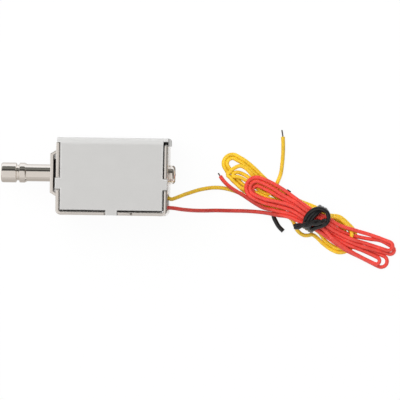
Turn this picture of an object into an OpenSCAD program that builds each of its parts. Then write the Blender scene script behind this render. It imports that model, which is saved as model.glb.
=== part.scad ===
// Solenoid cabinet lock: a spring-loaded round tongue that a coil in a folded steel frame pulls back.
// It lies on one large face. X runs along the tongue, with the tongue's tip at -X. Y runs across the
// folded base, with the base at -Y. Z is up, and the table is at zero. Millimetres.

/* [Frame] */
// Length of the body along the tongue
body_l = 31.4; // [29:0.2:40]
// Height of the body from the folded base to the top sheet
body_h = 21.8; // [20.6:0.2:28]
// Depth of the body between its two large faces
body_d = 18; // [17:0.2:24]
// Thickness of the plated sheet steel
sheet_t = 1; // [0.8:0.05:1.2]
// Outside radius of the yoke's two bends
yoke_bend_r = 1.5; // [1.3:0.1:1.6]
// Outside radius of the cover's two bends
cover_bend_r = 2; // [1.4:0.1:2.6]
// Gap between the cover's large faces and the front wall
front_gap = 0.15; // [0.1:0.05:0.4]
// Gap between the cover's large faces and the rear wall
rear_gap = 0.3; // [0.2:0.05:0.6]
// Gap between the cover's large faces and the base
base_gap = 0.35; // [0.2:0.05:0.7]
// Gap between the front wall's end and the top sheet
front_end_gap = 0.35; // [0.2:0.05:0.6]
// Gap between the rear wall's end and the top sheet
rear_end_gap = 0.8; // [0.3:0.05:1.2]
// Height of the tongue's axis over the middle of the body
axis_up = 0.8; // [0.4:0.1:1.5]

/* [Cover tabs] */
// Width of the tabs in the front and rear walls
side_tab_w = 3.2; // [2:0.1:5]
// Width of the tabs in the base
base_tab_w = 3.4; // [2:0.1:5]
// Distance of the side tabs below the middle of the body
side_tab_down = 2.1; // [0:0.1:3]
// How far the front tabs stand out of the front wall
tab_proud = 0.25; // [0:0.05:0.5]
// Clearance of a tab in its notch, all round
tab_clear = 0.12; // [0.05:0.01:0.2]
// Depth of the hook over the rear wall's end
hook_d = 3; // [2:0.1:4]
// How far the hook reaches down from the top
hook_l = 2.2; // [1.6:0.1:3]
// Thickness of the hook's turned-down end
hook_t = 0.8; // [0.6:0.05:1]

/* [Guide bridge] */
// Length of the bridge along the front wall
bridge_l = 13.2; // [12:0.2:14]
// Length of the bridge's flat top
bridge_flat = 11; // [10:0.2:11.4]
// Width of the bridge between its two slits
bridge_w = 12; // [9.6:0.2:13]
// Height of the bridge over the front wall's outside
bridge_rise = 1.85; // [1.5:0.05:2.4]
// Thickness of the drawn-out bridge strip
bridge_t = 1; // [0.7:0.05:1.1]
// Width of the slits beside the bridge
slit_w = 0.4; // [0.2:0.05:0.6]

/* [Tongue and plunger] */
// How far the tongue stands out of the front wall
tongue_reach = 16; // [14:0.2:22]
// Diameter of the tongue's head and collar
head_d = 5.6; // [5.2:0.1:6.4]
// Length of the head
head_l = 4.2; // [3:0.1:5]
// Diameter at the bottom of the groove
groove_d = 4.4; // [3.6:0.1:4.6]
// Length of the groove
groove_l = 1; // [0.9:0.1:2]
// Length of the collar behind the groove
collar_l = 2.1; // [1.5:0.1:2.4]
// Length of the slope from the collar down to the shaft
collar_slope = 0.7; // [0.4:0.1:0.9]
// Diameter of the shaft between the collar and the bridge
shaft_d = 4.8; // [4.4:0.1:5]
// Diameter of the plunger inside the coil
plunger_d = 7; // [6.4:0.1:7.2]
// Travel of the tongue when the coil pulls it
travel = 6; // [3:0.5:6.5]
// Radial clearance of the shaft in the bridge and of the plunger in its sleeve
slide_clear = 0.08; // [0.03:0.01:0.1]
// Edge chamfer on the turned pieces
chamfer = 0.3; // [0.1:0.05:0.4]
// Edge chamfer at the tongue's tip
tip_chamfer = 0.3; // [0.2:0.1:0.8]
// Thickness of the soft stop washer under the bridge
stop_t = 1; // [0.6:0.1:1.2]
// Width of the stop washer's ring
stop_ring_w = 1.4; // [1:0.1:1.6]

/* [Coil] */
// Wall of the brass guide sleeve
sleeve_wall = 0.35; // [0.25:0.05:0.5]
// Wall of the bobbin's tube
bobbin_wall = 0.8; // [0.6:0.1:1]
// Thickness of the bobbin's flanges
flange_t = 1.2; // [0.8:0.1:1.6]
// Clearance between the bobbin's flanges and the frame
flange_gap = 0.25; // [0.1:0.05:0.4]
// Thickness of the tape round the winding
tape_t = 0.15; // [0.1:0.05:0.25]
// How far the flanges stand over the tape
flange_lip = 0.2; // [0.1:0.05:0.4]
// Width of the two rails that the bobbin stands on
rail_w = 3.5; // [2:0.1:4]
// How far those rails lap over the lower edge of the flanges
rail_lap = 0.25; // [0.2:0.05:0.4]
// Clearance between pieces that are slid over each other
slip = 0.05; // [0.02:0.01:0.1]
// Diameter of the terminal pins
terminal_d = 0.8; // [0.6:0.1:1]
// Length of a terminal pin in front of its block
terminal_l = 3.2; // [2:0.1:3.2]
// Spacing of the two terminal pins
terminal_spacing = 9; // [7:0.5:10]

/* [Core and return spring] */
// Length of the fixed core
core_l = 11; // [9.5:0.5:13]
// Thickness of the gap shim on the core's face
shim_t = 0.3; // [0.1:0.05:0.5]
// Thread diameter of the core's screw
screw_d = 3; // [2.5:0.5:3]
// Diameter of the screw's head
screw_head_d = 5.4; // [5:0.1:6.2]
// Height of the screw's head
screw_head_h = 1.8; // [1.4:0.1:2.4]
// Radius of the head's rounded edge
screw_edge_r = 1; // [0.5:0.1:1.2]
// Length of the screw in the core
screw_grip = 5; // [3:0.5:5]
// Outside diameter of the return spring
spring_d = 3.8; // [3:0.1:4]
// Diameter of the spring's wire
spring_wire = 0.4; // [0.3:0.05:0.5]
// Number of turns of the spring
spring_turns = 11; // [6:1:14]
// Depth of the spring's seat in the plunger
plunger_seat = 6; // [4:0.5:7]
// Depth of the spring's seat in the core
core_seat = 3; // [1.5:0.5:3]

/* [Base holes and lead window] */
// Diameter of the tapped holes in the base
base_hole_d = 2.5; // [2:0.1:3]
// Spacing of the two tapped holes
base_hole_spacing = 14; // [10:0.5:14]
// Outside diameter of the drawn collars round the tapped holes
base_collar_d = 4.2; // [3.6:0.1:4.4]
// Height of the drawn collars inside the base
base_collar_h = 1; // [0.6:0.1:1.4]
// Width of the lead window across the body's depth
window_w = 6.2; // [5.8:0.1:7]
// Height of the lead window
window_h = 4.6; // [4.4:0.1:5]
// Height of the window's middle over the outside of the base
window_up = 3.9; // [3.8:0.1:4.6]
// Distance of the window's middle from the body's mid-depth
window_over = 3.9; // [1:0.1:4]
// Diameter of the punched nick in the base's near edge
nick_d = 0.7; // [0.5:0.05:0.75]
// Depth of the nick below the near face
nick_deep = 3; // [1:0.5:5]
// Distance of the nick behind the middle of the body
nick_back = 5.6; // [4:0.1:9]

/* [Leads and tie] */
// Diameter of a lead over its insulation
lead_d = 1.1; // [1:0.1:1.3]
// Diameter of the tinned wire at a lead's end
tinned_d = 0.45; // [0.4:0.05:0.7]
// Thickness of each lead's hank
hank_t = 2.3; // [2:0.1:2.8]
// Width of the bundle where it is tied
bundle_w = 6.7; // [6.2:0.1:6.9]
// Thickness of the twist tie round the bundle
tie_t = 0.5; // [0.4:0.05:0.8]
// Width of the wrapped tie along the bundle
tie_l = 4.6; // [3:0.2:4.8]
// Diameter of the tie's twisted end
tie_twist_d = 1.7; // [1.3:0.1:1.9]
// Diameter of the tie's free end
tie_wire_d = 0.9; // [0.7:0.1:1.1]

/* [Hidden] */
$fn = 64;

// Reach of a cutting shape past the face that it opens
past = 1;

// Clearances and seats inside the lock
screw_clear = 0.2;
stop_clear = 0.2;
spring_clear = 0.2;
lug_clear = 0.1;
lug_set = 0.2;
window_r = 0.6;
flange_r = 1;
ear_clear = 0.1;
ear_set = 0.4;
nick_set = 0.42;

// Places along X, with the middle of tongue, body and screw head at zero
overall_l = tongue_reach + body_l + screw_head_h;
tip_x = -overall_l / 2;
front_x = tip_x + tongue_reach;
rear_x = front_x + body_l;
mid_x = (front_x + rear_x) / 2;
inner_front = front_x + sheet_t;
inner_rear = rear_x - sheet_t;

// Places across the body
base_y = -body_h / 2;
top_y = body_h / 2;
inner_base = base_y + sheet_t;
inner_top = top_y - sheet_t;
axis_z = body_d / 2;
tab_y = -side_tab_down;
window_y = base_y + window_up;
window_z = axis_z + window_over;

// The bridge, the stop washer and the plunger's shoulder under it
bridge_outer = front_x - bridge_rise;
bridge_inner = bridge_outer + bridge_t;
bridge_foot = 0.6;
shoulder_x = bridge_inner + stop_t;

// The core, its shim and the plunger's rear face at rest
end_clear = 0.05;
core_face = inner_rear - core_l;
plunger_end = core_face - shim_t - end_clear - travel;

// Radii from the plunger outwards
plunger_r = plunger_d / 2;
sleeve_in_r = plunger_r + slide_clear;
sleeve_out_r = sleeve_in_r + sleeve_wall;
bobbin_bore_r = sleeve_out_r + slip;
bobbin_tube_r = bobbin_bore_r + bobbin_wall;
free_r = min(axis_z - sheet_t, inner_top - axis_up);
tape_r = free_r - flange_gap - flange_lip;
winding_r = tape_r - tape_t - slip;
spring_seat_r = spring_d / 2 + spring_clear;

// The bobbin between the front and the rear wall
bobbin_front = inner_front + slip;
bobbin_rear = inner_rear;
coil_front = bobbin_front + flange_t + slip;
coil_rear = bobbin_rear - flange_t - slip;
lug_rear = rear_x - lug_set;
flange_half_d = axis_z - sheet_t - flange_gap;
flange_low = inner_base + yoke_bend_r - sheet_t;

// The terminal block under the winding, at the rear flange
block_l = 3.2;
block_side = 2;
block_gap = 0.4;
block_front = coil_rear - block_l;
block_w = terminal_spacing + 2 * block_side;
block_top = axis_up - tape_r - block_gap;
terminal_up = 1.4;
terminal_y = inner_base + terminal_up;
terminal_set = 1.5;

// Heights of the bundle on the table
hank_low = tie_t;
hank_mid = hank_low + hank_t;
hank_top = hank_mid + hank_t;
tie_room = 0.5;
tie_turn = -29.5;
tie_place = [41.9, -11.4];
lead_sides = 8;

// Routes of the leads from the rear wall's outside, as points [x, y, z]
RED_LEAD = [
    [-0.2, -8.5, 15.2], [1.6, -8.6, 14.8], [3.7, -8.9, 13.2], [5.7, -9.1, 11], [7.7, -9.2, 8.7],
    [10.2, -9.2, 6.3], [13, -9.1, 4], [15.7, -9.1, 2.7], [18.5, -9.1, 1.9], [21.3, -9.1, 1.7],
    [24.1, -9.2, 1.8], [26.8, -9.4, 2.5], [29, -9.7, 3.1], [30.7, -10, 3.5]
];
YELLOW_LEAD = [
    [-0.2, -5.7, 10.5], [0.8, -6.1, 10.2], [2.3, -5.6, 9.5], [4.2, -4.8, 8.1], [6.1, -4.1, 6.2],
    [8.1, -3.4, 4.2], [10.3, -2.9, 2.6], [12.6, -2.6, 1.5], [15, -2.7, 0.8], [17.4, -3.2, 0.7],
    [20, -4.1, 1.1]
];
RED_TAIL = [
    [21.2, -4.7, 3.6], [19.3, -3.7, 3.2], [17.4, -2.6, 2.6], [16.2, -1.7, 2], [15.1, -0.6, 1.3],
    [14.2, 0.6, 0.8]
];
YELLOW_TAIL = [
    [30.2, -1.5, 1.1], [31.3, 1.5, 0.7], [31.7, 4.5, 0.6], [31.9, 7.4, 0.6], [31.9, 10, 0.6],
    [31.8, 12.1, 0.6]
];
RED_TIP = [[14.2, 0.6, 0.8], [13.6, 1.5, 0.7]];
YELLOW_TIP = [[31.8, 12.1, 0.6], [31.5, 14, 0.6]];

// Outlines of the hanks from the rear wall's outside, as stations [x, y, half width]
YELLOW_HANK = [
    [17.7, 3.6, 3.1], [23, -1.7, 3.8], [38.9, -9.9, bundle_w / 2], [43.7, -12.7, bundle_w / 2],
    [49.1, -16.5, 4.8]
];
RED_HANK = [
    [24.5, -3, 3.6], [39.6, -10.3, bundle_w / 2], [44.3, -12.6, bundle_w / 2], [60.8, -20.6, 4.3]
];
RED_HANK_DROP = [[59.1, -19.8, 4.3], [60.8, -20.6, 4.3]];

// Ends of the twist tie, from the middle of the bundle, as points [along, across, over the wrap]
TIE_TWIST = [[-0.2, -0.9, 0.95], [-2, -2.6, 0.95], [-3.7, -4.3, 0.4], [-5.4, -6, -0.7]];
TIE_FREE = [
    [29.6, -9.4, 0.5], [29.5, -10.5, 0.5], [30.1, -11.9, 0.5], [31, -13.4, 0.5], [32.3, -14.7, 0.5]
];

plated = [0.82, 0.82, 0.81];
bright = [0.86, 0.85, 0.83];
nylon = [0.1, 0.1, 0.1];
red = [0.86, 0.2, 0.18];
yellow = [0.93, 0.75, 0.15];
soot = [0.08, 0.08, 0.08];
tin = [0.6, 0.6, 0.6];
copper = [0.72, 0.38, 0.2];
amber = [0.85, 0.72, 0.2];
brass = [0.8, 0.66, 0.3];

// A shape turned about the tongue's axis, from an outline of points [radius, x]
module turned(outline) {
    translate([0, axis_up, axis_z]) rotate([0, 90, 0]) rotate_extrude() polygon(outline);
}

// A round rod or hole on the tongue's axis
module on_axis(from_x, to_x, r) {
    translate([from_x, axis_up, axis_z]) rotate([0, 90, 0]) cylinder(h = to_x - from_x, r = r);
}

// A tube round the tongue's axis
module ring(from_x, to_x, r_in, r_out) {
    difference() {
        on_axis(from_x, to_x, r_out);
        on_axis(from_x - past, to_x + past, r_in);
    }
}

// A plate across X whose outline is drawn in Y and Z
module across_x(from_x, to_x) {
    translate([from_x, 0, 0]) rotate([90, 0, 90]) linear_extrude(to_x - from_x) children();
}

module rounded_rect(low, high, r) {
    translate([low[0] + r, low[1]]) square([high[0] - low[0] - 2 * r, high[1] - low[1]]);
    translate([low[0], low[1] + r]) square([high[0] - low[0], high[1] - low[1] - 2 * r]);
    for (x = [low[0] + r, high[0] - r], y = [low[1] + r, high[1] - r]) translate([x, y]) circle(r);
}

// A quarter of a bend, on the side of its centre that the two signs give
module bend(r_out, sign_x, sign_y) {
    intersection() {
        difference() {
            circle(r_out);
            circle(r_out - sheet_t);
        }
        translate([min(sign_x, 0) * r_out, min(sign_y, 0) * r_out]) square(r_out);
    }
}

// A wall of the yoke from the bend up to its rounded end
module yoke_wall(low_x, end_y) {
    end_r = sheet_t / 2;
    low_y = base_y + yoke_bend_r;
    translate([low_x, low_y]) square([sheet_t, end_y - end_r - low_y]);
    translate([low_x + end_r, end_y - end_r]) circle(end_r);
}

module yoke_outline() {
    yoke_wall(front_x, inner_top - front_end_gap);
    yoke_wall(inner_rear, inner_top - rear_end_gap);
    translate([front_x + yoke_bend_r, base_y]) square([body_l - 2 * yoke_bend_r, sheet_t]);
    translate([front_x + yoke_bend_r, base_y + yoke_bend_r]) bend(yoke_bend_r, -1, -1);
    translate([rear_x - yoke_bend_r, base_y + yoke_bend_r]) bend(yoke_bend_r, 1, -1);
}

// The strip drawn out of the front wall, with its two sloping legs
module bridge_strip() {
    leg = bridge_l / 2;
    flat = bridge_flat / 2;
    thin = bridge_t / 2;
    translate([0, axis_up, axis_z - bridge_w / 2]) linear_extrude(bridge_w) polygon([
        [front_x, leg], [bridge_outer, flat], [bridge_outer, -flat], [front_x, -leg],
        [inner_front, -leg], [inner_front, bridge_foot - leg], [bridge_inner, thin - flat],
        [bridge_inner, flat - thin], [inner_front, leg - bridge_foot], [inner_front, leg]
    ]);
}

module bridge_window() {
    window_l = bridge_l - 2 * bridge_foot;
    window_d = bridge_w + 2 * slit_w;
    translate([front_x - past, axis_up - window_l / 2, axis_z - window_d / 2])
        cube([sheet_t + 2 * past, window_l, window_d]);
}

// The notches for the cover's tabs, at the edge that starts at this height
module tab_notches(low_z) {
    deep = sheet_t + tab_clear + past;
    side_w = side_tab_w + 2 * tab_clear;
    base_w = base_tab_w + 2 * tab_clear;
    for (x = [front_x, inner_rear])
        translate([x - past, tab_y - side_w / 2, low_z]) cube([sheet_t + 2 * past, side_w, deep]);
    translate([mid_x - base_w / 2, base_y - past, low_z]) cube([base_w, sheet_t + 2 * past, deep]);
}

module base_hole_places() {
    for (side = [-1, 1])
        translate([mid_x + side * base_hole_spacing / 2, base_y, axis_z]) rotate([-90, 0, 0]) children();
}

module lead_window(clear) {
    half = [window_h / 2 - clear, window_w / 2 - clear];
    rounded_rect([window_y, window_z] - half, [window_y, window_z] + half, window_r);
}

module yoke() color(plated) difference() {
    union() {
        difference() {
            linear_extrude(body_d) yoke_outline();
            bridge_window();
        }
        bridge_strip();
        base_hole_places() cylinder(h = sheet_t + base_collar_h, d = base_collar_d);
    }
    on_axis(bridge_outer - past, inner_front, shaft_d / 2 + slide_clear);
    on_axis(inner_rear - past, rear_x + past, screw_d / 2 + screw_clear);
    across_x(inner_rear - past, rear_x + past) lead_window(0);
    base_hole_places() translate([0, 0, -past])
        cylinder(h = sheet_t + base_collar_h + 2 * past, d = base_hole_d);
    translate([mid_x + nick_back, base_y + nick_set, body_d - nick_deep])
        cylinder(h = nick_deep + past, d = nick_d);
    tab_notches(-past);
    tab_notches(body_d - sheet_t - tab_clear);
}

// The cover's U from the end, in Y and Z
module cover_outline() {
    face_low = inner_base + base_gap;
    face_h = top_y - cover_bend_r - face_low;
    for (z = [0, body_d - sheet_t]) translate([face_low, z]) square([face_h, sheet_t]);
    translate([inner_top, cover_bend_r]) square([sheet_t, body_d - 2 * cover_bend_r]);
    translate([top_y - cover_bend_r, cover_bend_r]) bend(cover_bend_r, 1, -1);
    translate([top_y - cover_bend_r, body_d - cover_bend_r]) bend(cover_bend_r, 1, 1);
}

// The part of that U over a height, which runs out over a wall's end as an ear
module ear_outline(low_y, set_z) {
    intersection() {
        cover_outline();
        translate([low_y, set_z]) square([top_y - low_y, body_d - 2 * set_z]);
    }
}

// The corner of the rear ear that is turned down over the rear wall's outside
module hook_outline() {
    down_x = rear_x + slip;
    turn_y = top_y - hook_t;
    translate([mid_x, inner_top]) square([down_x - mid_x, sheet_t]);
    translate([down_x, top_y - hook_l]) square([hook_t, hook_l - hook_t]);
    intersection() {
        translate([down_x, turn_y]) circle(hook_t);
        translate([down_x, turn_y]) square(hook_t);
    }
}

module cover() color(plated) {
    front_ear_set = 0.2;
    front_ear_low = inner_top - front_end_gap + ear_clear;
    across_x(inner_front + front_gap, inner_rear - rear_gap) cover_outline();
    across_x(front_x + front_ear_set, mid_x) ear_outline(front_ear_low, 0);
    across_x(mid_x, rear_x) ear_outline(inner_top, ear_set);
    translate([0, 0, body_d - cover_bend_r - hook_d]) linear_extrude(hook_d) hook_outline();
    for (z = [0, body_d - sheet_t]) {
        translate([front_x - tab_proud, tab_y - side_tab_w / 2, z])
            cube([body_l + tab_proud, side_tab_w, sheet_t]);
        translate([mid_x - base_tab_w / 2, base_y, z]) cube([base_tab_w, body_h / 2, sheet_t]);
    }
}

// A flange of the bobbin, from just over the base up to the top sheet
module flange(from_x, to_x) {
    across_x(from_x, to_x) rounded_rect(
        [flange_low, axis_z - flange_half_d], [inner_top - flange_gap, axis_z + flange_half_d], flange_r
    );
}

// The two rails under the bobbin, along both large faces
module rails() {
    from_x = bobbin_front + flange_t - slip;
    to_x = bobbin_rear - flange_t + slip;
    low_y = inner_base + slip;
    for (z = [axis_z - flange_half_d, axis_z + flange_half_d - rail_w])
        translate([from_x, low_y, z]) cube([to_x - from_x, flange_low + rail_lap - low_y, rail_w]);
}

// The lip of the rear flange that lies over the rear wall's end
module wall_lip() {
    from_x = bobbin_rear - flange_t;
    low_y = inner_top - rear_end_gap + slip;
    half_d = flange_half_d - flange_r;
    translate([from_x, low_y, axis_z - half_d])
        cube([rear_x - slip - from_x, inner_top - slip - low_y, 2 * half_d]);
}

module bobbin() color(nylon) difference() {
    union() {
        on_axis(bobbin_front, bobbin_rear, bobbin_tube_r);
        flange(bobbin_front, bobbin_front + flange_t);
        flange(bobbin_rear - flange_t, bobbin_rear);
        rails();
        wall_lip();
        across_x(bobbin_rear - flange_t, lug_rear) lead_window(lug_clear);
        translate([block_front, inner_base + flange_gap, axis_z - block_w / 2])
            cube([coil_rear + 2 * slip - block_front, block_top - inner_base - flange_gap, block_w]);
    }
    on_axis(bobbin_front - past, bobbin_rear + past, bobbin_bore_r);
    terminal_places() cylinder(h = terminal_set + slip + past, d = terminal_d + 2 * slip);
}

// The mouths of the terminal holes in the block, looking into it
module terminal_places() {
    for (side = [-1, 1]) translate([block_front, terminal_y, axis_z + side * terminal_spacing / 2])
        rotate([0, 90, 0]) translate([0, 0, -past]) children();
}

module coil_winding() color(copper) ring(coil_front, coil_rear, bobbin_tube_r + slip, winding_r);

module coil_tape() color(amber) ring(coil_front, coil_rear, winding_r + slip, tape_r);

module terminal_pins() color(tin) terminal_places() translate([0, 0, past - terminal_l])
    cylinder(h = terminal_l + terminal_set, d = terminal_d);

module guide_sleeve() color(brass) ring(bobbin_front, bobbin_rear - slip, sleeve_in_r, sleeve_out_r);

module fixed_core() color(tin) {
    bore = screw_d / 2 + slip;
    tip_room = 0.5;
    bore_end = inner_rear - screw_grip - tip_room;
    turned([
        [0, core_face + core_seat], [spring_seat_r, core_face + core_seat], [spring_seat_r, core_face],
        [plunger_r - chamfer, core_face], [plunger_r, core_face + chamfer],
        [plunger_r, inner_rear - chamfer], [plunger_r - chamfer, inner_rear],
        [bore, inner_rear], [bore, bore_end], [0, bore_end]
    ]);
}

module gap_shim() color(brass) ring(core_face - shim_t, core_face, spring_seat_r, plunger_r - chamfer);

// A pan head with a cross recess, and the shank that pulls the core against the rear wall
module core_screw() color(bright) {
    head_r = screw_head_d / 2;
    top_x = rear_x + screw_head_h;
    recess_deep = 1.1;
    recess_l = 2.8;
    recess_w = 0.6;
    recess_x = top_x - recess_deep;
    difference() {
        translate([0, axis_up, axis_z]) rotate([0, 90, 0]) rotate_extrude() {
            translate([0, rear_x]) square([head_r - screw_edge_r, screw_head_h]);
            translate([0, rear_x]) square([head_r, screw_head_h - screw_edge_r]);
            intersection() {
                translate([0, rear_x]) square([head_r, screw_head_h]);
                translate([head_r - screw_edge_r, top_x - screw_edge_r]) circle(screw_edge_r);
            }
            translate([0, inner_rear - screw_grip]) square([screw_d / 2, screw_grip + sheet_t]);
        }
        for (turn = [0, 90]) translate([recess_x, axis_up, axis_z]) rotate([turn, 0, 0])
            translate([0, -recess_l / 2, -recess_w / 2]) cube([recess_deep + past, recess_l, recess_w]);
    }
}

// Tongue and plunger, turned in one piece from the tip to the spring's seat
module plunger() color(bright) {
    head_r = head_d / 2;
    groove_r = groove_d / 2;
    shaft_r = shaft_d / 2;
    slope = 0.2;
    head_end = tip_x + head_l;
    collar_start = head_end + groove_l;
    collar_end = collar_start + collar_l;
    turned([
        [0, tip_x], [head_r - tip_chamfer, tip_x], [head_r, tip_x + tip_chamfer], [head_r, head_end],
        [groove_r, head_end + slope], [groove_r, collar_start - slope], [head_r, collar_start],
        [head_r, collar_end - collar_slope], [shaft_r, collar_end],
        [shaft_r, shoulder_x], [plunger_r - chamfer, shoulder_x], [plunger_r, shoulder_x + chamfer],
        [plunger_r, plunger_end - chamfer], [plunger_r - chamfer, plunger_end],
        [spring_seat_r, plunger_end], [spring_seat_r, plunger_end - plunger_seat],
        [0, plunger_end - plunger_seat]
    ]);
}

module stop_washer() color(soot) {
    hole_r = shaft_d / 2 + stop_clear;
    ring(bridge_inner, shoulder_x, hole_r, hole_r + stop_ring_w);
}

function unit(v) = v / norm(v);

function heading(path, i) = unit(path[min(i + 1, len(path) - 1)] - path[max(i - 1, 0)]);

// Points round a path: one ring at each of its points, started from that point's own normal
function rings(path, normals, r, sides) = [
    for (i = [0 : len(path) - 1], k = [0 : sides - 1])
        let (n = normals[i], b = cross(heading(path, i), n), a = 360 * (k + 0.5) / sides)
        path[i] + r * (cos(a) * n + sin(a) * b)
];

// A closed tube along a path
module tube(path, normals, r, sides) {
    last = len(path) - 1;
    around = [
        for (i = [0 : last - 1], k = [0 : sides - 1])
            let (next = (k + 1) % sides, a = i * sides, b = a + sides)
            each [[a + k, b + k, b + next], [a + k, b + next, a + next]]
    ];
    start_cap = [for (k = [0 : sides - 1]) k];
    end_cap = [for (k = [sides - 1 : -1 : 0]) last * sides + k];
    polyhedron(rings(path, normals, r, sides), concat(around, [start_cap, end_cap]));
}

// A lead lies along its path, with each ring upright
module lead(path, d) {
    normals = [for (i = [0 : len(path) - 1]) unit(cross([0, 0, 1], heading(path, i)))];
    translate([rear_x, 0, 0]) tube(path, normals, d / 2, lead_sides);
}

// An open coil between the two seats
module return_spring() color(tin) {
    per_turn = 14;
    wire_sides = 6;
    steps = spring_turns * per_turn;
    wire_r = spring_wire / 2;
    coil_r = spring_d / 2 - wire_r;
    low = plunger_end - plunger_seat + wire_r + slip;
    high = core_face + core_seat - wire_r - slip;
    outward = [for (i = [0 : steps]) let (a = 360 * i / per_turn) [0, cos(a), sin(a)]];
    path = [for (i = [0 : steps]) [low + (high - low) * i / steps, 0, 0] + coil_r * outward[i]];
    translate([0, axis_up, axis_z]) tube(path, outward, wire_r, wire_sides);
}

// The direction of a hank's middle line at one of its stations, in degrees
function lie(stations, i) =
    let (a = stations[max(i - 1, 0)], b = stations[min(i + 1, len(stations) - 1)])
    atan2(b[1] - a[1], b[0] - a[0]);

// A point beside a station, at its half width and at an angle to the middle line
function beside(stations, i, angle) =
    let (s = stations[i], a = lie(stations, i) + angle)
    [s[0], s[1]] + s[2] * [cos(a), sin(a)];

// A flat hank with round ends
module hank(stations, low_z, high_z) {
    last = len(stations) - 1;
    arc = 15;
    far_end = [for (a = [90 : -arc : -90]) beside(stations, last, a)];
    near_end = [for (a = [-90 : -arc : -270]) beside(stations, 0, a)];
    left = [for (i = [1 : last - 1]) beside(stations, i, 90)];
    right = [for (i = [last - 1 : -1 : 1]) beside(stations, i, -90)];
    translate([rear_x, 0, low_z]) linear_extrude(high_z - low_z)
        polygon(concat(far_end, right, near_end, left));
}

module at_tie() {
    translate([rear_x + tie_place[0], tie_place[1], 0]) rotate([0, 0, tie_turn]) children();
}

module red_lead() color(red) lead(RED_LEAD, lead_d);

// The red hank lies on the yellow one, and its far loops come down to the table
module red_hank() color(red) {
    hank(RED_HANK, hank_mid, hank_top);
    hank(RED_HANK_DROP, 0, hank_mid);
}

module red_tail() color(red) lead(RED_TAIL, lead_d);

module red_tinned_end() color(tin) lead(RED_TIP, tinned_d);

module yellow_lead() color(yellow) lead(YELLOW_LEAD, lead_d);

module yellow_hank() color(yellow) hank(YELLOW_HANK, hank_low, hank_mid);

module yellow_tail() color(yellow) lead(YELLOW_TAIL, lead_d);

module yellow_tinned_end() color(tin) lead(YELLOW_TIP, tinned_d);

// The wrapped turns of the tie, as one band round both hanks
module twist_tie() color(soot) at_tie() {
    half_w = bundle_w / 2 + tie_room;
    corner_r = 0.3;
    across_x(-tie_l / 2, tie_l / 2) difference() {
        rounded_rect([-half_w - tie_t, 0], [half_w + tie_t, hank_top + tie_t], corner_r + tie_t);
        rounded_rect([-half_w, tie_t], [half_w, hank_top], corner_r);
    }
}

module tie_twisted_end() color(soot) at_tie() {
    path = [for (p = TIE_TWIST) [p[0], p[1], hank_top + tie_t + p[2]]];
    normals = [for (i = [0 : len(path) - 1]) unit(cross([0, 0, 1], heading(path, i)))];
    tube(path, normals, tie_twist_d / 2, lead_sides);
}

module tie_free_end() color(soot) lead(TIE_FREE, tie_wire_d);

yoke();
cover();
bobbin();
coil_winding();
coil_tape();
terminal_pins();
guide_sleeve();
fixed_core();
gap_shim();
core_screw();
plunger();
stop_washer();
return_spring();
red_lead();
red_hank();
red_tail();
red_tinned_end();
yellow_lead();
yellow_hank();
yellow_tail();
yellow_tinned_end();
twist_tie();
tie_twisted_end();
tie_free_end();
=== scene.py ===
"""Looks of a solenoid cabinet lock: plated sheet box, turned tongue, two tied leads and a plain studio."""

import math

import bmesh
import bpy
import numpy as np
from bpy.props import FloatProperty, FloatVectorProperty, IntProperty, PointerProperty
from mathutils import Matrix, Vector


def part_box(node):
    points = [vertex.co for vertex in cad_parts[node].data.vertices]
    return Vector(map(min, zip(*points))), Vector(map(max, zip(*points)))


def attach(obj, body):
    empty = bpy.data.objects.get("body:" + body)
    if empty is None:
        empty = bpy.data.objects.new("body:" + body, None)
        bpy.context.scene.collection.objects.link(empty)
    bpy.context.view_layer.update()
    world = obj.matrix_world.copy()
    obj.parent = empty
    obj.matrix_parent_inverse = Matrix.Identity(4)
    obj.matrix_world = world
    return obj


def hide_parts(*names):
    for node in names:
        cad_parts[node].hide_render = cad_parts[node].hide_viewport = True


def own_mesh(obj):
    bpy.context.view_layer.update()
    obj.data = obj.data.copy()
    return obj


bl_info = {
    "name": "Solenoid cabinet lock",
    "version": (1, 0, 0),
    "blender": (4, 5, 0),
    "location": "View3D > Sidebar > Lock",
    "description": "Dresses the lock: sheet box, tongue, screw, coil, spring, tied leads and a plain studio",
    "category": "Object",
}

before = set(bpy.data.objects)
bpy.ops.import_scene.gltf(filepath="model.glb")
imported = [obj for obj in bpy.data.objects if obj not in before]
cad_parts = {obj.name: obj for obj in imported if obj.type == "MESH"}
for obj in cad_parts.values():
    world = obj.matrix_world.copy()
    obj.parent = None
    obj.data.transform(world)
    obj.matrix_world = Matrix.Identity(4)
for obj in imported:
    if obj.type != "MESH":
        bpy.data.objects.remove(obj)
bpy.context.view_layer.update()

MM = 0.001
BODY = "body"
TONGUE = "tongue"
UP = Vector((0.0, 0.0, 1.0))
REAR_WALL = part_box("yoke")[1].x / MM


# Settings that a user would change

def length(label, text, default):
    return FloatProperty(name=label, description=text, default=default, min=0.0, unit="LENGTH", precision=5)


def share(label, text, default):
    return FloatProperty(name=label, description=text, default=default, min=0.0, max=1.0, subtype="FACTOR")


def angle(label, text, degrees):
    return FloatProperty(name=label, description=text, default=math.radians(degrees), subtype="ANGLE")


def colour(label, text, default):
    return FloatVectorProperty(
        name=label, description=text, default=(*default, 1.0), size=4, min=0.0, max=1.0, subtype="COLOR")


class SheetSettings(bpy.types.PropertyGroup):
    """Plated sheet box."""

    yoke_round: length("Yoke outline round", "Round on the near and far edges of the yoke's walls", 0.00028)
    cover_round: length("Cover outline round", "Round on the outlines of the cover's large faces", 0.0004)
    edge_round: length("Edge round", "Round on all other sheared edges", 0.00008)
    satin: colour("Satin plating", "Colour of the cover's satin plating", (0.535, 0.532, 0.524))
    bright: colour("Bright plating", "Colour of the yoke's brighter plating", (0.87, 0.84, 0.81))
    satin_roughness: share("Satin roughness", "Roughness of the cover's plating", 0.5)
    bright_roughness: share("Bright roughness", "Roughness of the yoke's plating", 0.24)


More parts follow.
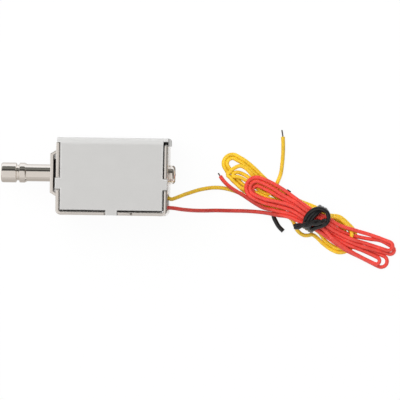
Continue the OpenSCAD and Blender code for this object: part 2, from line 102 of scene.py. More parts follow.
class TurnedSettings(bpy.types.PropertyGroup):
    """Turned and polished pieces."""

    edge_round: length("Edge round", "Round on the turned edges", 0.00012)
    nickel: colour("Nickel", "Colour of the polished nickel", (0.90, 0.86, 0.82))
    roughness: share("Roughness", "Roughness of the polished nickel", 0.1)


class LeadSettings(bpy.types.PropertyGroup):
    """The two leads."""

    diameter: length("Diameter", "Outside diameter of the insulation", 0.0011)
    strand: length("Strand", "Diameter of one strand of the tinned conductor", 0.00014)
    red: colour("Red", "Colour of the red insulation", (0.81, 0.066, 0.047))
    yellow: colour("Yellow", "Colour of the yellow insulation", (0.91, 0.58, 0.024))
    # Painted shade on the leads outside the tied bundle: the share of their colour that is kept
    red_lone_shade: share("Red alone", "Tone of the red lead outside the tied bundle", 0.68)
    yellow_lone_shade: share("Yellow alone", "Tone of the yellow lead outside the tied bundle", 0.84)
    tin: colour("Tin", "Colour of the tinned strands", (0.42, 0.40, 0.39))


class TieSettings(bpy.types.PropertyGroup):
    """The twist tie."""

    diameter: length("Diameter", "Thickness of the coated tie wire", 0.00125)
    pair: length("Pair", "Thickness of each of the two twisted ends", 0.00115)
    plastic: colour("Plastic", "Colour of the tie's coating", (0.008, 0.008, 0.009))


class CoilSettings(bpy.types.PropertyGroup):
    """What is inside the box."""

    nylon: colour("Nylon", "Colour of the bobbin", (0.012, 0.012, 0.013))
    copper: colour("Copper", "Colour of the enamelled winding", (0.58, 0.20, 0.07))
    tape: colour("Tape", "Colour of the tape over the winding", (0.75, 0.50, 0.08))
    brass: colour("Brass", "Colour of the sleeve and the shim", (0.78, 0.56, 0.24))
    iron: colour("Iron", "Colour of the fixed core", (0.42, 0.40, 0.38))
    steel: colour("Spring steel", "Colour of the spring wire", (0.55, 0.53, 0.50))
    rubber: colour("Rubber", "Colour of the stop washer", (0.02, 0.02, 0.021))
    spring_wire: length("Spring wire", "Diameter of the spring's wire", 0.0004)
    spring_turns: IntProperty(
        name="Spring turns", description="Turns of the return spring", default=11, min=3)


class StageSettings(bpy.types.PropertyGroup):
    """Camera, floor and lights; the cards round them are fixed."""

    aim: FloatVectorProperty(
        name="Aim", description="Point of the near face's plane, from the rear wall, that the camera aims at",
        default=(0.0092, -0.0062, 0.018), unit="LENGTH")
    reach: length("Reach", "Distance of the camera from that point", 1.182)
    lean: angle("Lean", "Lean of the view towards the rear wall", 2.29)
    roll: angle("Roll", "Turn of the camera about its view", 0.85)
    lens: FloatProperty(
        name="Lens", description="Focal length in millimetres on a 36 mm sensor", default=379.9)
    floor: colour("Floor", "Colour of the floor", (0.9, 0.9, 0.9))
    shadow: share("Shadow", "How much of the object's shadow the floor shows", 0.06)
    key: FloatProperty(
        name="Key light", description="Power of the large lamp overhead", default=6.2, subtype="POWER")
    fill: FloatProperty(
        name="Fill", description="Strength of the light from all round", default=0.65, min=0.0)


def settings(group):
    return getattr(bpy.context.scene, group)


# Node helpers

def add(tree, kind, inputs=None, **options):
    """Adds a node. An input is a value, or a socket to link from."""
    node = tree.nodes.new(kind)
    for name, value in options.items():
        setattr(node, name, value)
    for name, value in (inputs or {}).items():
        socket = node.inputs[name]
        if isinstance(value, bpy.types.NodeSocket):
            tree.links.new(value, socket)
        else:
            socket.default_value = value
    return node


def start_group(name, inputs, outputs):
    """A new node group with its sockets; gives the tree and its two end nodes."""
    tree = bpy.data.node_groups.new(name, "ShaderNodeTree")
    for label, kind, default in inputs:
        socket = tree.interface.new_socket(label, in_out="INPUT", socket_type=kind)
        socket.default_value = default
    for label, kind in outputs:
        tree.interface.new_socket(label, in_out="OUTPUT", socket_type=kind)
    return tree, tree.nodes.new("NodeGroupInput"), tree.nodes.new("NodeGroupOutput")


FLOAT, COLOUR, VECTOR = "NodeSocketFloat", "NodeSocketColor", "NodeSocketVector"


def ramp_value(tree, value, low, high, out_low=0.0, out_high=1.0):
    """Maps a value from one range to another, clamped."""
    node = add(tree, "ShaderNodeMapRange", {
        "Value": value, "From Min": low, "From Max": high, "To Min": out_low, "To Max": out_high})
    return node.outputs["Result"]


def math_node(tree, operation, first, second):
    return add(tree, "ShaderNodeMath", {0: first, 1: second}, operation=operation).outputs[0]


def mix_colour(tree, factor, first, second):
    node = add(tree, "ShaderNodeMix", {"Factor": factor, 6: first, 7: second}, data_type="RGBA")
    return node.outputs[2]


def object_place(tree):
    return add(tree, "ShaderNodeTexCoord").outputs["Object"]


def separate(tree, vector):
    """The outputs X, Y and Z of a vector."""
    return add(tree, "ShaderNodeSeparateXYZ", {0: vector}).outputs


def dot_product(tree, first, second):
    node = add(tree, "ShaderNodeVectorMath", {0: first, 1: second}, operation="DOT_PRODUCT")
    return node.outputs["Value"]


def place_group(tree, build, inputs):
    """Places a node group, which is built under its function's name when it is first wanted."""
    name = build.__name__
    group = bpy.data.node_groups.get(name) or build(name)
    return add(tree, "ShaderNodeGroup", inputs, node_tree=group)


# Node groups

TONE_RANGE = (0.32, 0.68)
SCRATCH_BLUR = 0.06
SPECK_BLUR = 0.05
SPECK_PATCHES = (0.55, 0.62)
# Where a lead counts as bundled, free of the painted shade, in metres from the tie's middle: across on either
# side, and past the tie
BUNDLE_SIDES = ((-0.0046, -0.0038), (0.0064, 0.0054))
BUNDLE_PAST = (0.001, 0.003)
# Painted shade on the yoke's cut edges: how squarely they face near or far, where their outer half ends, the
# base's share
SHADE_FACING = (0.55, 0.7)
SHADE_BLEND = (1.1, 0.9)
BASE_SHADE_SHARE = 0.3
# How far the cover faces up where the painted highlight on its bend starts
HIGHLIGHT_START = 0.03


def slow_tone(name):
    """Slow change of colour over a surface, between two tones."""
    tree, inside, out = start_group(
        name,
        (("Dark", COLOUR, (0.5, 0.5, 0.5, 1)), ("Light", COLOUR, (0.6, 0.6, 0.6, 1)),
         ("Scale", FLOAT, 200.0)),
        (("Colour", COLOUR), ("Value", FLOAT)))
    noise = add(tree, "ShaderNodeTexNoise", {
        "Vector": object_place(tree), "Scale": inside.outputs["Scale"], "Detail": 4.0, "Roughness": 0.55})
    value = ramp_value(tree, noise.outputs["Fac"], *TONE_RANGE)
    tone = mix_colour(tree, value, inside.outputs["Dark"], inside.outputs["Light"])
    tree.links.new(tone, out.inputs["Colour"])
    tree.links.new(value, out.inputs["Value"])
    return tree


def hair_scratches(name):
    """Fine hair scratches that run along one way."""
    tree, inside, out = start_group(
        name,
        (("Stretch", VECTOR, (150.0, 5000.0, 5000.0)), ("Thin", FLOAT, 0.66)),
        (("Mask", FLOAT), ("Height", FLOAT)))
    place = add(tree, "ShaderNodeVectorMath", {
        0: object_place(tree), 1: inside.outputs["Stretch"]}, operation="MULTIPLY").outputs[0]
    noise = add(tree, "ShaderNodeTexNoise", {"Vector": place, "Scale": 1.0, "Detail": 3.0, "Roughness": 0.6})
    value = noise.outputs["Fac"]
    line = math_node(tree, "SUBTRACT", value, inside.outputs["Thin"])
    tree.links.new(ramp_value(tree, line, 0.0, SCRATCH_BLUR), out.inputs["Mask"])
    tree.links.new(value, out.inputs["Height"])
    return tree


def dust_specks(name):
    """Small scattered specks."""
    tree, inside, out = start_group(
        name, (("Scale", FLOAT, 900.0), ("Size", FLOAT, 0.12)), (("Mask", FLOAT),))
    place = object_place(tree)
    cells = add(tree, "ShaderNodeTexVoronoi", {"Vector": place, "Scale": inside.outputs["Scale"]})
    rare = add(tree, "ShaderNodeTexNoise", {"Vector": place, "Scale": 350.0, "Detail": 2.0})
    near = math_node(tree, "SUBTRACT", inside.outputs["Size"], cells.outputs["Distance"])
    speck = ramp_value(tree, near, 0.0, SPECK_BLUR)
    chosen = ramp_value(tree, rare.outputs["Fac"], *SPECK_PATCHES)
    tree.links.new(math_node(tree, "MULTIPLY", speck, chosen), out.inputs["Mask"])
    return tree


def unshaded_bundle(name):
    """How far a point of a lead belongs to the tied bundle; outside it the leads are darkened with painted
    shade.
    """
    tree, _, out = start_group(name, (), (("Mask", FLOAT),))
    turn = math.radians(TIE.heading)
    away = add(tree, "ShaderNodeVectorMath", {
        0: object_place(tree), 1: (TIE.x * MM, TIE.y * MM, 0.0)}, operation="SUBTRACT").outputs[0]
    across = dot_product(tree, away, (-math.sin(turn), math.cos(turn), 0.0))
    along = dot_product(tree, away, (math.cos(turn), math.sin(turn), 0.0))
    below, above = (ramp_value(tree, across, *side) for side in BUNDLE_SIDES)
    past = ramp_value(tree, along, *BUNDLE_PAST)
    beside = math_node(tree, "MULTIPLY", below, above)
    tree.links.new(math_node(tree, "MAXIMUM", beside, past), out.inputs["Mask"])
    return tree


def painted_shade_outer_half(name):
    """Painted shade on the outer half of the yoke's cut edges at the rear and, fainter, at the base: a darker
    tone that stands in for the dark reflection on these rounded edges.
    """
    tree, inside, out = start_group(name, (("Wide", FLOAT, 0.0005),), (("Mask", FLOAT),))
    low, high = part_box("yoke")
    wide = inside.outputs["Wide"]
    place = separate(tree, object_place(tree))
    facing = separate(tree, add(tree, "ShaderNodeNewGeometry").outputs["Normal"])["Z"]
    either_way = add(tree, "ShaderNodeMath", {0: facing}, operation="ABSOLUTE").outputs[0]
    edge = ramp_value(tree, either_way, *SHADE_FACING)
    rear = math_node(tree, "DIVIDE", math_node(tree, "SUBTRACT", high.x, place["X"]), wide)
    base = math_node(tree, "DIVIDE", math_node(tree, "SUBTRACT", place["Y"], low.y), wide)
    rear = ramp_value(tree, rear, *SHADE_BLEND)
    base = ramp_value(tree, base, *SHADE_BLEND, 0.0, BASE_SHADE_SHARE)
    outer = math_node(tree, "MAXIMUM", rear, base)
    tree.links.new(math_node(tree, "MULTIPLY", edge, outer), out.inputs["Mask"])
    return tree


def painted_bend_highlight(name):
    """Painted highlight where the cover's sheet turns up over its bend to the top: a lighter tone for the
    light that falls there.
    """
    tree, inside, out = start_group(name, (("Full", FLOAT, 0.4),), (("Mask", FLOAT),))
    up = separate(tree, add(tree, "ShaderNodeTexCoord").outputs["Normal"])["Y"]
    tree.links.new(ramp_value(tree, up, HIGHLIGHT_START, inside.outputs["Full"]), out.inputs["Mask"])
    return tree


# Finishes

def start_material(name):
    """A new material with its Principled shader; gives the material, its tree and the shader."""
    material = bpy.data.materials.new(name)
    material.use_nodes = True
    tree = material.node_tree
    return material, tree, tree.nodes["Principled BSDF"]


def set_bump(tree, shader, height, distance, strength=1.0):
    bump = add(tree, "ShaderNodeBump", {"Height": height, "Distance": distance, "Strength": strength})
    tree.links.new(bump.outputs["Normal"], shader.inputs["Normal"])


def toned(base, factor):
    """A colour made darker or lighter by a factor."""
    return (*(min(1.0, part * factor) for part in base[:3]), 1.0)


RUBBED_TONE = 1.12
SCRATCH_SHARE = 0.25
FULL_WEAR = 0.6
LEAST_WEAR = 0.45
SCRATCH_HEIGHTS = (0.3, 0.7)
GRAIN_SPREAD = 0.15
GLOSS_SPREAD = 0.2
BLACK = (0.0, 0.0, 0.0, 1.0)
DUST = (0.75, 0.72, 0.68, 1.0)
DUST_SHARE = 0.35
SKIN_TONES = (0.86, 1.06)
SKIN_ROUGHNESS = (0.34, 0.48)
SKIN_DEPTH = 8e-6
# Light that goes a little way into the leads' insulation
SKIN_GLOW = {
    "Subsurface Weight": 0.35, "Subsurface Scale": 0.0006, "Subsurface Radius": (1.0, 1.0, 1.0)}


def metal(name, base, roughness, scratch_way, metallic=1.0, tone=0.03, tone_scale=160.0,
          scratch_depth=2e-6, painted_light_group=None, painted_tone=0.5):
    """Metal with a slow change of tone, hair scratches, and edges that are rubbed bright.

    A group can mark where painted light or shade gives the metal a lighter or darker tone."""
    material, tree, shader = start_material(name)
    rubbed = toned(base, RUBBED_TONE)
    slow = place_group(tree, slow_tone, {
        "Dark": toned(base, 1 - tone), "Light": toned(base, 1 + tone), "Scale": tone_scale})
    lines = place_group(tree, hair_scratches, {"Stretch": scratch_way})
    edge = add(tree, "ShaderNodeAttribute", attribute_name="edge").outputs["Fac"]
    wear = ramp_value(tree, slow.outputs["Value"], 0.0, FULL_WEAR, LEAST_WEAR, 1.0)
    scratched = math_node(tree, "MULTIPLY", lines.outputs["Mask"], SCRATCH_SHARE)
    tint = mix_colour(tree, scratched, slow.outputs["Colour"], rubbed)
    tint = mix_colour(tree, math_node(tree, "MULTIPLY", edge, wear), tint, rubbed)
    # Painted light or shade: the group's mask mixes in a lighter or darker tone.
    if painted_light_group:
        mask = place_group(tree, painted_light_group, {}).outputs["Mask"]
        tint = mix_colour(tree, mask, tint, toned(base, painted_tone))
    tree.links.new(tint, shader.inputs["Base Color"])
    heights = lines.outputs["Height"]
    grain = ramp_value(tree, heights, *SCRATCH_HEIGHTS,
                       roughness * (1 - GRAIN_SPREAD), roughness * (1 + GRAIN_SPREAD))
    tree.links.new(grain, shader.inputs["Roughness"])
    shader.inputs["Metallic"].default_value = metallic
    set_bump(tree, shader, heights, scratch_depth)
    return material


def satin_plate():
    own = settings("lock_sheet")
    # The bend to the top gets a painted highlight, 1.18 times lighter.
    return metal(
        "satin_plate", own.satin, own.satin_roughness, scratch_way=(180.0, 4200.0, 4200.0),
        metallic=0.2, tone=0.012, painted_light_group=painted_bend_highlight, painted_tone=1.18)


def bright_plate():
    own = settings("lock_sheet")
    # The outer half of the rear and base edges is darkened with painted shade, to half its tone.
    return metal(
        "bright_plate", own.bright, own.bright_roughness, scratch_way=(2500.0, 2500.0, 300.0),
        painted_light_group=painted_shade_outer_half)


def bright_nickel():
    own = settings("lock_turned")
    return metal("bright_nickel", own.nickel, own.roughness, scratch_way=(9000.0, 120.0, 120.0))


def insulation(name, base, lone_shade):
    """Extruded lead insulation: soft gloss, slight change of colour, a fine grain and dust.

    Outside the tied bundle it is darkened with painted shade."""
    material, tree, shader = start_material(name)
    dark, light = (toned(base, tone) for tone in SKIN_TONES)
    slow = place_group(tree, slow_tone, {"Dark": dark, "Light": light, "Scale": 420.0})
    dust = place_group(tree, dust_specks, {"Scale": 2600.0, "Size": 0.16})
    dust_share = math_node(tree, "MULTIPLY", dust.outputs["Mask"], DUST_SHARE)
    bundled = mix_colour(tree, dust_share, slow.outputs["Colour"], DUST)
    # Painted shade: outside the bundle the colour is mixed towards black.
    alone = mix_colour(tree, 1 - lone_shade, bundled, BLACK)
    bundle = place_group(tree, unshaded_bundle, {}).outputs["Mask"]
    tree.links.new(mix_colour(tree, bundle, alone, bundled), shader.inputs["Base Color"])
    gloss = ramp_value(tree, slow.outputs["Value"], 0.0, 1.0, *SKIN_ROUGHNESS)
    tree.links.new(gloss, shader.inputs["Roughness"])
    fine = add(tree, "ShaderNodeTexNoise", {"Vector": object_place(tree), "Scale": 4500.0, "Detail": 2.0})
    set_bump(tree, shader, fine.outputs["Fac"], SKIN_DEPTH)
    for socket, value in SKIN_GLOW.items():
        shader.inputs[socket].default_value = value
    return material


def plain_finish(name, base, roughness, metallic=0.0, tone=0.12, scale=500.0, grain=3000.0, depth=5e-6):
    """A surface with a slow change of tone and a fine grain."""
    material, tree, shader = start_material(name)
    slow = place_group(tree, slow_tone, {
        "Dark": toned(base, 1 - tone), "Light": toned(base, 1 + tone), "Scale": scale})
    tree.links.new(slow.outputs["Colour"], shader.inputs["Base Color"])
    gloss = ramp_value(tree, slow.outputs["Value"], 0.0, 1.0,
                       roughness * (1 - GLOSS_SPREAD), roughness * (1 + GLOSS_SPREAD))
    tree.links.new(gloss, shader.inputs["Roughness"])
    shader.inputs["Metallic"].default_value = metallic
    fine = add(tree, "ShaderNodeTexNoise", {"Vector": object_place(tree), "Scale": grain, "Detail": 3.0})
    set_bump(tree, shader, fine.outputs["Fac"], depth)
    return material


# Shape helpers

def show(obj, body, slot, *nodes):
    """Links a new piece, rides it on its body and hides the nodes that it stands for; its slot is not used.
    """
    bpy.context.scene.collection.objects.link(obj)
    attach(obj, body)
    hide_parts(*nodes)


def to_object(shape, name):
    """A new object from a finished shape."""
    data = bpy.data.meshes.new(name)
    shape.to_mesh(data)
    shape.free()
    return bpy.data.objects.new(name, data)


SAME = 1e-6
FLAT = math.radians(0.5)
SHARP = math.radians(34)
SHADE_SPLIT = math.radians(50)
LEAST_OUTLINE = 0.003


def long_outlines(edges):
    """The edges that belong to connected outlines of some length, which leaves out the rims of pinholes."""
    left, kept = set(edges), []
    while left:
        outline, ends = [], [left.pop()]
        while ends:
            edge = ends.pop()
            outline.append(edge)
            near = {link for vert in edge.verts for link in vert.link_edges} & left
            left -= near
            ends += near
        if sum(edge.calc_length() for edge in outline) > LEAST_OUTLINE:
            kept += outline
    return sorted(kept, key=lambda edge: edge.index)


def on_outline(node):
    """A test for edges round the large faces of a sheet piece, or on the bridge before the cover's front.

    The lowest edges are left out, because the pinhole in the base comes close to them."""
    low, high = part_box(node)
    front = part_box("cover")[0].x - SAME

    def test(edge):
        one, two = (vert.co for vert in edge.verts)
        flat = min(abs(one.z - low.z), abs(one.z - high.z)) < SAME
        lowest = max(one.y, two.y) < low.y + SAME
        return abs(one.z - two.z) < SAME and not lowest and (flat or min(one.x, two.x) < front)
    return test


def softened(node, name, width, segments=2, outline=0.0):
    """A copy of a node with its sharp edges rounded over; the rounded faces are marked as edge.

    A sheet piece's outlines come first, with a round that tight corners elsewhere don't limit."""
    shape = bmesh.new()
    shape.from_mesh(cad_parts[node].data)
    bmesh.ops.remove_doubles(shape, verts=shape.verts, dist=SAME)
    bmesh.ops.dissolve_limit(shape, angle_limit=FLAT, verts=shape.verts, edges=shape.edges)
    mark = shape.faces.layers.float.new("edge")
    rounds = [(outline, on_outline(node), False)] if outline else []
    for offset, wanted, limited in (*rounds, (width, lambda edge: True, True)):
        shape.edges.index_update()
        sharp = [edge for edge in shape.edges if edge.is_manifold and edge.calc_face_angle() > SHARP]
        made = bmesh.ops.bevel(
            shape, geom=long_outlines(filter(wanted, sharp)), offset=offset, offset_type="OFFSET",
            segments=segments, profile=0.5, affect="EDGES", material=-1, clamp_overlap=limited)
        for face in made["faces"]:
            face[mark] = 1.0
    for face in shape.faces:
        face.smooth = True
    piece = to_object(shape, name)
    piece.data.set_sharp_from_angle(angle=SHADE_SPLIT)
    even = piece.modifiers.new("even_shading", "WEIGHTED_NORMAL")
    even.keep_sharp = True
    return piece


def wire_curve(name, lines, diameter, fineness=4):
    """Round wires along lists of points, as one curve object."""
    data = bpy.data.curves.new(name, "CURVE")
    data.dimensions = "3D"
    data.bevel_depth = diameter / 2
    data.bevel_resolution = fineness
    data.use_fill_caps = True
    for points in lines:
        spline = data.splines.new("POLY")
        spline.points.add(len(points) - 1)
        places = np.ones((len(points), 4))
        places[:, :3] = points
        spline.points.foreach_set("co", places.ravel())
        spline.use_smooth = True
    return bpy.data.objects.new(name, data)


# Routes of the leads and the tie, in millimetres

RED_LEAD = (
    (-0.2, -8.5, 15.2), (1.6, -8.6, 14.8), (3.7, -8.9, 13.2), (5.7, -9.1, 11), (7.7, -9.2, 8.7),
    (10.2, -9.2, 6.3), (13, -9.1, 4), (15.7, -9.1, 2.7), (18.5, -9.1, 1.9), (21.3, -9.1, 1.7),
    (24.1, -9.2, 1.8), (26.8, -9.4, 2.5), (29, -9.7, 3.1), (30.7, -10, 3.5))
RED_TAIL = (
    (21.2, -4.7, 3.6), (19.3, -3.7, 3.2), (17.4, -2.6, 2.6), (16.2, -1.7, 2), (15.1, -0.6, 1.3),
    (14.2, 0.6, 0.8))
RED_TIP = (13.6, 1.5, 0.7)
YELLOW_LEAD = (
    (-0.2, -5.7, 10.5), (0.8, -6.1, 10.2), (2.3, -5.6, 9.5), (4.2, -4.8, 8.1), (6.1, -4.1, 6.2),
    (8.1, -3.4, 4.2), (10.3, -2.9, 2.6), (12.6, -2.6, 1.5), (15, -2.7, 0.8), (17.4, -3.2, 0.7),
    (20, -4.1, 1.1))
YELLOW_SLIP = (
    (22, -5.3, 1.1), (26.1, -7.1, 0.9), (30.2, -8.8, 0.8), (33.2, -10, 0.7), (34.9, -11.3, 0.6),
    (35.7, -13, 0.6), (36.2, -14.1, 0.6), (37, -15, 0.6), (38.2, -15.7, 0.6), (39.4, -15.75, 0.6),
    (40.5, -15.5, 0.6), (41.6, -16.1, 0.6), (43.6, -18, 0.6))
YELLOW_CROSSING = (
    (19.8, 0.4, 1.7), (21, -0.2, 1.6), (22.1, -0.9, 1.5), (24.4, -2.5, 1.3), (27, -4.2, 1.2),
    (28.8, -4, 1.7), (29.9, -2.9, 1.8))
YELLOW_TAIL = (
    (30.2, -1.5, 1.1), (31.3, 1.5, 0.7), (31.7, 4.5, 0.6), (31.9, 7.4, 0.6), (31.9, 10, 0.6),
    (31.8, 12.1, 0.6))
YELLOW_TIP = (31.5, 14, 0.6)


def behind_wall(points):
    """Points whose first number counts from the rear wall, in the part's frame."""
    return [(x + REAR_WALL, y, z) for x, y, z in points]


class Lie:
    """A straight line on the table that a hank lies along."""

    def __init__(self, x, y, heading):
        self.x, self.y, self.heading = x, y, heading

    def at(self, along, across, up):
        turn = math.radians(self.heading)
        cosine, sine = math.cos(turn), math.sin(turn)
        return (self.x + along * cosine - across * sine, self.y + along * sine + across * cosine, up)

    def half_turn(self, end, along, across, radius, up, lean=0.0, steps=6):
        """Half a turn: lower strand to upper at the far end (1), upper to lower at the near end (-1)."""
        x, y, _ = self.at(along, across, up)
        own = Lie(x, y, self.heading + lean)
        turns = [math.pi * i / steps for i in range(steps + 1)]
        return [own.at(end * radius * math.sin(turn), -end * radius * math.cos(turn), up) for turn in turns]


TIE = Lie(REAR_WALL + 41.9, -11.4, -29.5)
TIE_HALF = 2.1
TIE_PAST = 5
RED_LIE = Lie(REAR_WALL + 41.8, -11.4, -25.6)
YELLOW_NEAR_LIE = Lie(REAR_WALL + 17.9, 3.8, -43)
YELLOW_FAR_LIE = Lie(REAR_WALL + 49.2, -16.6, -36)

# Red hank: (along, across, radius, up, lean) of its half turns
RED_FAR = (
    (21.35, -2.0, 1.75, 0.65, 0), (22.4, 1.4, 1.15, 0.65, 8), (21.4, 2.2, 1.3, 1.75, 14),
    (20.1, -2.75, 1.0, 1.75, -3))
RED_NEAR = ((-18.9, 0.05, 1.3, 2.8), (-19.2, 0.5, 2.0, 3.8), (-19.3, 0.5, 3.05, 3.7))
# Red runs: (across, up) at three stations before the tie, in the tie and at up to four past it
RED_STATIONS = (-15.5, -11.5, -7.5, -TIE_HALF, TIE_HALF, 6.5, 11, 15.5, 18.8)
RED_OUT = (
    (None, None, (-2.5, 3.9), (-2.3, 4.4), (-3.0, 3.2), (-3.6, 1.6), (-3.7, 0.65)),
    ((-1.3, 2.9), (-0.4, 2.9), (0.3, 3.2), (-0.7, 3.6), (-1.2, 2.3), (-1.1, 1.7), (-0.8, 1.7)),
    ((-1.15, 3.9), (-0.1, 4.0), (0.5, 4.3), (-0.2, 4.6), (-0.8, 3.4), (-0.75, 2.6), (-0.05, 1.7)),
    ((-2.3, 3.3), (-1.4, 3.6), (-0.75, 4.2), (-1.3, 4.6), (-2.8, 4.2), (-3.65, 2.7), (-3.85, 1.75)))
RED_BACK = (
    ((1.35, 3.0), (1.0, 3.1), (0.75, 3.5), (0.4, 3.6), (-1.3, 2.3), (-1.3, 0.65), (-0.95, 0.65)),
    ((2.55, 3.8), (2.1, 3.9), (1.85, 4.3), (0.85, 4.6), (0.1, 3.4), (0.1, 1.4), (1.4, 0.65), (2.6, 0.65)),
    ((3.7, 3.7), (3.3, 3.8), (2.6, 4.1), (1.8, 4.2), (1.45, 3.6), (2.1, 2.8), (2.9, 1.75)),
    ((-3.6, 3.3), (-2.9, 3.6), (-2.0, 3.9), (-1.9, 3.6), (-1.9, 2.9), (-2.0, 1.9), (-1.7, 1.2)))

# Yellow hank: the same, with spots before the tie as (along, across, up) from its near line
YELLOW_FAR = (
    (-0.7, -0.2, 4.25, 0.65), (-0.7, -0.15, 3.25, 0.65), (-1.3, 0.4, 2.1, 0.75), (-0.7, 0.9, 2.7, 1.7))
YELLOW_NEAR = (
    (-0.6, 0.1, 2.5, 0.65), (-0.6, 0.1, 1.55, 0.75), (1.4, -2.35, 0.6, 1.85, 45),
    (2.05, -1.6, 0.6, 1.7, 80))
YELLOW_OUT = (
    None,
    (((7.4, -3.0, 0.65), (4.0, -3.0, 0.65), (1.6, -3.0, 0.65)), (-2.75, 1.6), (-4.0, 0.8)),
    (((8.9, -1.9, 0.9), (6.3, -2.2, 0.75), (2.8, -2.15, 0.75)), (-0.8, 1.6), (-2.1, 1.1)),
    (((10.2, -0.6, 1.8), (6.2, -2.8, 1.75), (4.4, -2.9, 1.75), (2.9, -2.9, 1.8)), (0.1, 2.6), (-1.2, 2.0)))
YELLOW_BACK = (
    (((18.7, 4.8, 0.9), (13.1, 3.4, 0.75), (8.5, 3.2, 0.65), (4.5, 3.25, 0.65), (1.5, 3.05, 0.65)),
     (2.7, 1.6), (3.8, 0.8)),
    (((19.0, 3.7, 1.0), (13.2, 2.4, 0.8), (8.4, 2.25, 0.75), (4.0, 2.35, 0.75), (1.3, 2.15, 0.75)),
     (1.6, 1.6), (2.8, 1.1)),
    (((10.0, 1.3, 0.9), (4.4, 2.0, 1.75), (2.8, 1.9, 1.8), (1.6, 1.3, 1.8), (1.1, 0.1, 1.8),
      (0.95, -0.95, 1.85)),
     (0.4, 1.65), (1.9, 1.3)),
    (((18.6, 4.2, 1.8), (10.2, 1.7, 1.75), (5.2, 0.9, 0.8), (4.0, 0.55, 0.7), (2.9, 0.1, 0.8),
      (1.9, -0.6, 1.5)),
     (2.2, 2.6), (3.35, 1.75)))


def red_route():
    """The red lead, from the rear wall through its folded runs to its bare end."""
    def run(spots):
        before, slot, past = spots[:3], spots[3], spots[4:]
        places = zip(RED_STATIONS, (*before, slot, slot, *past))
        return [RED_LIE.at(along, *spot) for along, spot in places if spot]

    route = behind_wall(RED_LEAD)
    for fold, turn in enumerate(RED_FAR):
        route += run(RED_OUT[fold]) + RED_LIE.half_turn(1, *turn) + run(RED_BACK[fold])[::-1]
        if fold < len(RED_NEAR):
            route += RED_LIE.half_turn(-1, *RED_NEAR[fold])
    return route + behind_wall(RED_TAIL)


def yellow_route():
    """The yellow lead, which slips out beside the tie at its first run."""
    def run_out(spots):
        before, slot, past = spots
        return ([YELLOW_NEAR_LIE.at(*spot) for spot in before[::-1]]
                + [TIE.at(-TIE_HALF, *slot), TIE.at(TIE_HALF, *slot), TIE.at(TIE_PAST, *past)])

    route = behind_wall(YELLOW_LEAD) + behind_wall(YELLOW_SLIP)
    for fold, turn in enumerate(YELLOW_FAR):
        if YELLOW_OUT[fold]:
            route += run_out(YELLOW_OUT[fold])
        route += YELLOW_FAR_LIE.half_turn(1, *turn) + run_out(YELLOW_BACK[fold])[::-1]
        route += YELLOW_NEAR_LIE.half_turn(-1, *YELLOW_NEAR[fold])
    return route + behind_wall(YELLOW_CROSSING) + behind_wall(YELLOW_TAIL)


def distance_along(line):
    """How far along a line each of its points lies."""
    return np.concatenate([[0], np.cumsum(np.linalg.norm(np.diff(line, axis=0), axis=1))])


# Spacing of the first points along a smooth line, in steps
FINE = 0.4


def smooth_line(points, step):
    """A smooth line through points, heading at each from the one before to the one after, in even steps."""
    points = np.array(points, float)
    heading = np.gradient(points, axis=0)
    heading[1:-1] = points[2:] - points[:-2]
    heading /= np.linalg.norm(heading, axis=1)[:, None]
    line = []
    for here, there, leave, arrive in zip(points, points[1:], heading, heading[1:]):
        gap = np.linalg.norm(there - here)
        t = np.linspace(0, 1, max(2, round(gap / (FINE * step)) + 1))[:-1, None]
        line.append((2 * t**3 - 3 * t**2 + 1) * here + (t**3 - 2 * t**2 + t) * gap * leave
                    + (3 * t**2 - 2 * t**3) * there + (t**3 - t**2) * gap * arrive)
    line = np.concatenate(line + [points[-1:]])
    done = distance_along(line)
    even = np.linspace(0, done[-1], round(done[-1] / step) + 1)
    return np.stack([np.interp(even, done, line[:, axis]) for axis in range(3)], axis=1)


SETTLE_ROUNDS = 300
# Strands that may touch are looked up every so many rounds, within a reach in diameters
SETTLE_LOOK = 20
SETTLE_REACH = 1.8
# Pushing: least distance in diameters, the share of a push that is taken, how much more of it goes up or down
SETTLE_CLOSE = 0.94
SETTLE_PACE = 0.9
SETTLE_STEEP = 0.4
SETTLE_SINK = 0.002
SMOOTH_ROUNDS = 2
# Points at the ends of a lead that stay put, and points along it that don't push each other
HELD_START = 12
HELD_END = 8
NEIGHBOURS = 7
TINY = 1e-9
# How far the tie's wire lifts the strands over it, along the bundle and across it
LIFT_ALONG = 3.0
LIFT_ACROSS = 3.9


def table_under(points, diameter, tie_wire):
    """Least height of a strand's middle: the table, or the tie's wire where it passes under the bundle."""
    turn = math.radians(TIE.heading)
    cosine, sine = math.cos(turn), math.sin(turn)
    away = points[:, :2] - (TIE.x, TIE.y)
    along = away @ (cosine, sine)
    across = away @ (-sine, cosine)
    bump = np.exp(-(along / LIFT_ALONG) ** 4) * (np.abs(across) < LIFT_ACROSS)
    return diameter / 2 + tie_wire * bump


